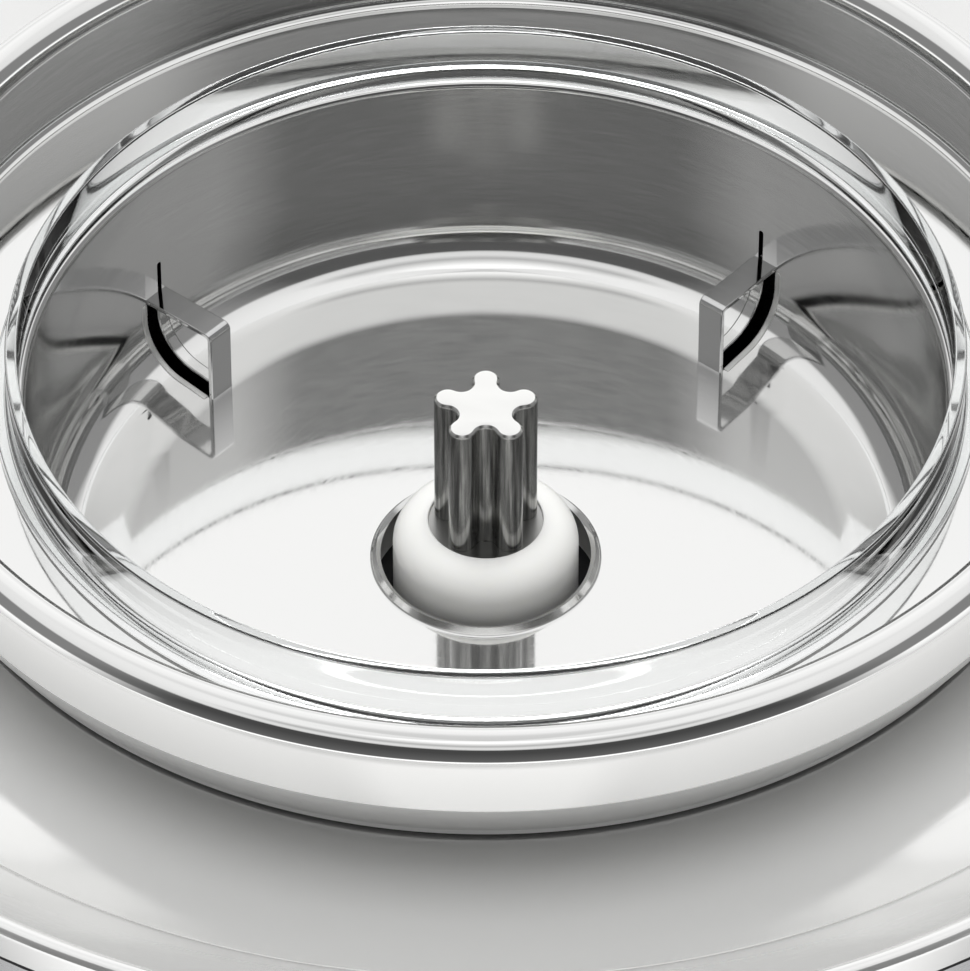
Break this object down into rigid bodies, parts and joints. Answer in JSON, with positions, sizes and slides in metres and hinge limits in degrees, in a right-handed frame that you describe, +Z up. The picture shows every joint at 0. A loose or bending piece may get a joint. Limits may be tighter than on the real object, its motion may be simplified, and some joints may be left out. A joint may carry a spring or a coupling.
{
  "type": "ice cream maker base",
  "caption": "Round counter-top ice cream maker base: polished bowl seat with a star drive spindle, clear splash ring, geared motor, timer knob and power rocker.",
  "frame": {"origin": "centre of the bounding box on the table plane, under the feet", "axes": "+Z up along the spindle, -Y towards the control panel, +X to the right seen from the front"},
  "size_m": [0.3417, 0.3662, 0.182],
  "materials": {
    "polished_steel": "polished stainless steel sheet",
    "brushed_steel": "brushed stainless steel sheet",
    "clear_plastic": "clear moulded plastic",
    "black_rubber": "matt black rubber",
    "zinc_steel": "bright zinc plate",
    "black_plastic": "fine-grained black plastic",
    "dark_plastic": "dark grey plastic",
    "knob_plastic": "satin black plastic",
    "white_plastic": "white acetal plastic",
    "machined_alloy": "turned and milled alloy",
    "cast_alloy": "die-cast alloy",
    "washer_steel": "worn steel",
    "bronze": "sintered bronze and brass",
    "lamination_steel": "varnished laminations",
    "copper_wire": "enamelled copper wire",
    "amber_lens": "amber moulded lens"
  },
  "bodies": {
    "base": {"well_bowl": "polished_steel", "collar": "polished_steel", "collar_gasket": "black_rubber", "collar_nuts": "zinc_steel", "bowl_spacer": "black_plastic", "top_deck": "polished_steel", "deck_gasket": "black_rubber", "drum_housing": "brushed_steel", "base_plate": "black_plastic", "foot_screws": "zinc_steel", "tie_rods": "zinc_steel", "tie_nuts": "zinc_steel", "spindle_boss": "white_plastic", "boss_screws": "zinc_steel", "wear_washer": "washer_steel", "shaft_seal": "black_rubber", "upper_bush": "bronze", "lower_bush": "bronze", "drip_seal": "black_rubber", "gearbox_cup": "cast_alloy", "gearbox_cover": "cast_alloy", "cover_screws": "zinc_steel", "gearbox_isolators": "black_rubber", "gearbox_screws": "zinc_steel", "gear_axle": "zinc_steel", "motor_stator": "lamination_steel", "motor_windings": "copper_wire", "motor_top_bell": "cast_alloy", "motor_bottom_bell": "cast_alloy", "motor_upper_bush": "bronze", "motor_lower_bush": "bronze", "motor_bolts": "zinc_steel", "control_panel": "black_plastic", "timer_body": "dark_plastic", "switch_body": "black_plastic", "pilot_lamp": "amber_lens", "inlet_housing": "black_plastic", "inlet_pins": "bronze", "motor_capacitor": "dark_plastic", "terminal_block": "white_plastic", "mains_loom": "black_rubber", "foot_back_right": "black_rubber", "foot_back_left": "black_rubber", "foot_front_left": "black_rubber", "foot_front_right": "black_rubber"},
    "spindle": {"spindle": "machined_alloy", "output_gear": "white_plastic", "drive_pin": "zinc_steel", "spindle_circlip": "zinc_steel"},
    "idler": {"compound_gear": "white_plastic"},
    "rotor": {"rotor": "lamination_steel", "motor_pinion": "bronze", "motor_fan": "black_plastic"},
    "knob": {"timer_knob": "knob_plastic", "timer_shaft": "zinc_steel"},
    "rocker": {"power_rocker": "knob_plastic"},
    "ring": {"clear_ring": "clear_plastic"}
  },
  "joints": [
    {"name": "spindle_turn", "type": "hinge", "parent": "base", "child": "spindle", "pos_m": [0, 0.00915, 0.1], "axis": [0, 0, 1], "continuous": true},
    {"name": "idler_turn", "type": "hinge", "parent": "base", "child": "idler", "pos_m": [-0.045, 0.00915, 0.08], "axis": [0, 0, 1], "continuous": true},
    {"name": "rotor_turn", "type": "hinge", "parent": "base", "child": "rotor", "pos_m": [-0.045, 0.04515, 0.05], "axis": [0, 0, 1], "continuous": true},
    {"name": "timer_turn", "type": "hinge", "parent": "base", "child": "knob", "pos_m": [0, -0.16475, 0.088], "axis": [0, 1, 0], "range_deg": [0, 300]},
    {"name": "power_press", "type": "hinge", "parent": "base", "child": "rocker", "pos_m": [-0.037, -0.15775, 0.088], "axis": [-1, 0, 0], "range_deg": [0, 16]},
    {"name": "ring_lift", "type": "slide", "parent": "base", "child": "ring", "axis": [0, 0, 1], "range_m": [0, 0.05]}
  ],
  "couplings": [
    {"joint": "idler_turn", "follows": "spindle_turn", "ratio": -4},
    {"joint": "rotor_turn", "follows": "spindle_turn", "ratio": 20}
  ]
}
